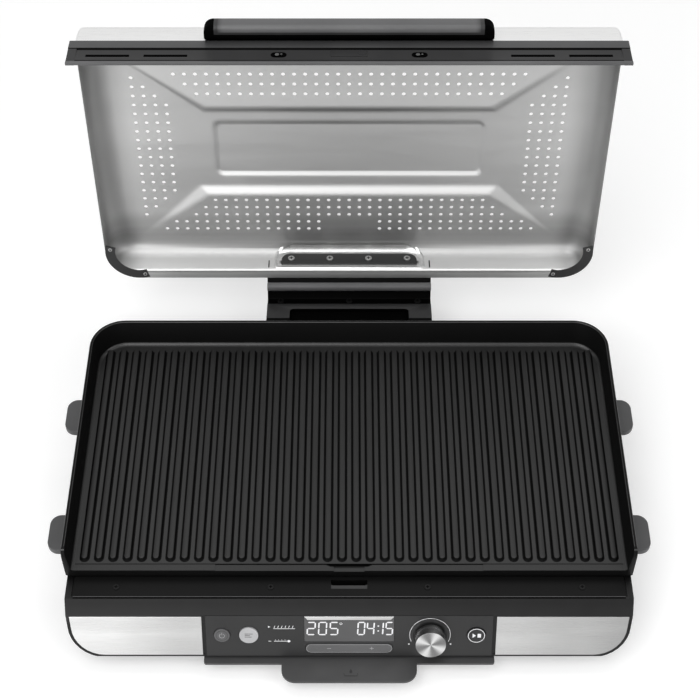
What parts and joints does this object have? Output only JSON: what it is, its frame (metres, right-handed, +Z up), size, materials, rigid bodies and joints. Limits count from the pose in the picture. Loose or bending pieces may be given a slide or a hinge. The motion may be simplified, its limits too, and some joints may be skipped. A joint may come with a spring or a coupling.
{
  "type": "electric indoor grill with lid",
  "caption": "Wide countertop electric grill: ribbed open-front plate, slide-out drip tray, leaning control panel and a perforated steel lid that swings up on a rear arm.",
  "frame": {"origin": "on the table, below the middle of the open grill's bounding box", "axes": "+X to the user's right, +Y to the back, +Z up"},
  "size_m": [0.54, 0.4929, 0.3754],
  "materials": {
    "black_plastic": "fine moulded grain",
    "front_plastic": "satin moulded",
    "trough_black": "matt black",
    "fascia_plastic": "satin dark grey",
    "window_plastic": "tinted window",
    "trim_steel": "brushed across",
    "bright_metal": "bright",
    "dial_metal": "spun face",
    "dial_black": "gloss black",
    "grey_button": "satin grey",
    "silver_button": "silver paint",
    "dark_button": "satin",
    "board": "circuit board",
    "part_black": "small electrical parts",
    "wire": "sleeved leads",
    "reflector": "bright sheet",
    "element": "dull sheath",
    "pin_steel": "ground",
    "black_screw": "blackened",
    "rubber": "matt",
    "plate_coating": "dark non-stick coating",
    "grey_plastic": "grey satin",
    "lid_steel": "brushed",
    "skirt_plastic": "satin dark grey",
    "handle_plastic": "satin to gloss",
    "arm_black": "satin black"
  },
  "bodies": {
    "base": {"base_tub": "black_plastic", "front_housing": "front_plastic", "trough_panel": "trough_black", "trough_screws": "black_screw", "trim_plate_left": "trim_steel", "trim_plate_right": "trim_steel", "control_fascia": "fascia_plastic", "display_window": "window_plastic", "display_strip": "bright_metal", "display_module": "part_black", "dial_ring": "fascia_plastic", "control_board": "board", "button_switches": "part_black", "dial_encoder": "pin_steel", "drain_chute": "black_plastic", "reflector_pan": "reflector", "heating_element": "element", "element_clips": "element", "plate_probe": "element", "thermal_fuse": "reflector", "power_board": "board", "wiring_harness": "wire", "mains_inlet": "black_plastic", "tray_rails": "black_plastic", "rubber_feet": "rubber", "base_screws": "pin_steel", "hinge_block": "black_plastic", "hinge_pin": "pin_steel", "hinge_springs": "pin_steel", "hinge_block_screws": "pin_steel"},
    "lid": {"lid_pan": "lid_steel", "lid_face": "lid_steel", "corner_guards": "skirt_plastic", "guard_screws": "pin_steel", "front_skirt": "skirt_plastic", "skirt_cheeks": "skirt_plastic", "skirt_screws": "black_screw", "skirt_plug": "skirt_plastic", "lid_handle": "handle_plastic", "handle_screws": "pin_steel", "hinge_arm": "arm_black", "arm_bracket": "arm_black", "hinge_arm_cover": "arm_black", "arm_screws": "black_screw", "backing_plate": "arm_black", "backing_screws": "pin_steel"},
    "plate": {"grill_plate": "plate_coating", "lift_tabs": "grey_plastic"},
    "tray": {"drip_tray": "grey_plastic", "tray_pull": "grey_plastic"},
    "dial": {"dial_shaft": "pin_steel", "dial_core": "dial_black", "dial_cap": "dial_metal"},
    "power_key": {"power_button": "grey_button"},
    "mode_key": {"mode_button": "silver_button"},
    "start_key": {"start_button": "dark_button"},
    "selector": {"selector_bar": "grey_button"}
  },
  "joints": [
    {"name": "lid_hinge", "type": "hinge", "parent": "base", "child": "lid", "pos_m": [0, 0.12245, 0.0487], "axis": [1, 0, 0], "range_deg": [0, 95.3]},
    {"name": "plate_lift", "type": "slide", "parent": "base", "child": "plate", "axis": [0, 0, -1], "range_m": [-0.1, 0]},
    {"name": "tray_slide", "type": "slide", "parent": "base", "child": "tray", "axis": [0, -1, 0], "range_m": [0, 0.195]},
    {"name": "dial_turn", "type": "hinge", "parent": "base", "child": "dial", "pos_m": [0.0712, -0.21332, 0.04353], "axis": [0, -0.9272, 0.3746], "continuous": true},
    {"name": "power_press", "type": "slide", "parent": "base", "child": "power_key", "axis": [0, 0.9272, -0.3746], "range_m": [0, 0.001], "stiffness_N_per_m": 300},
    {"name": "mode_press", "type": "slide", "parent": "base", "child": "mode_key", "axis": [0, 0.9272, -0.3746], "range_m": [0, 0.001], "stiffness_N_per_m": 300},
    {"name": "start_press", "type": "slide", "parent": "base", "child": "start_key", "axis": [0, 0.9272, -0.3746], "range_m": [0, 0.001], "stiffness_N_per_m": 300},
    {"name": "selector_tilt", "type": "hinge", "parent": "base", "child": "selector", "pos_m": [0, -0.2169, 0.02934], "axis": [0, 0.3746, 0.9272], "range_deg": [-1.5, 1.5], "stiffness_Nm_per_rad": 0.2}
  ]
}
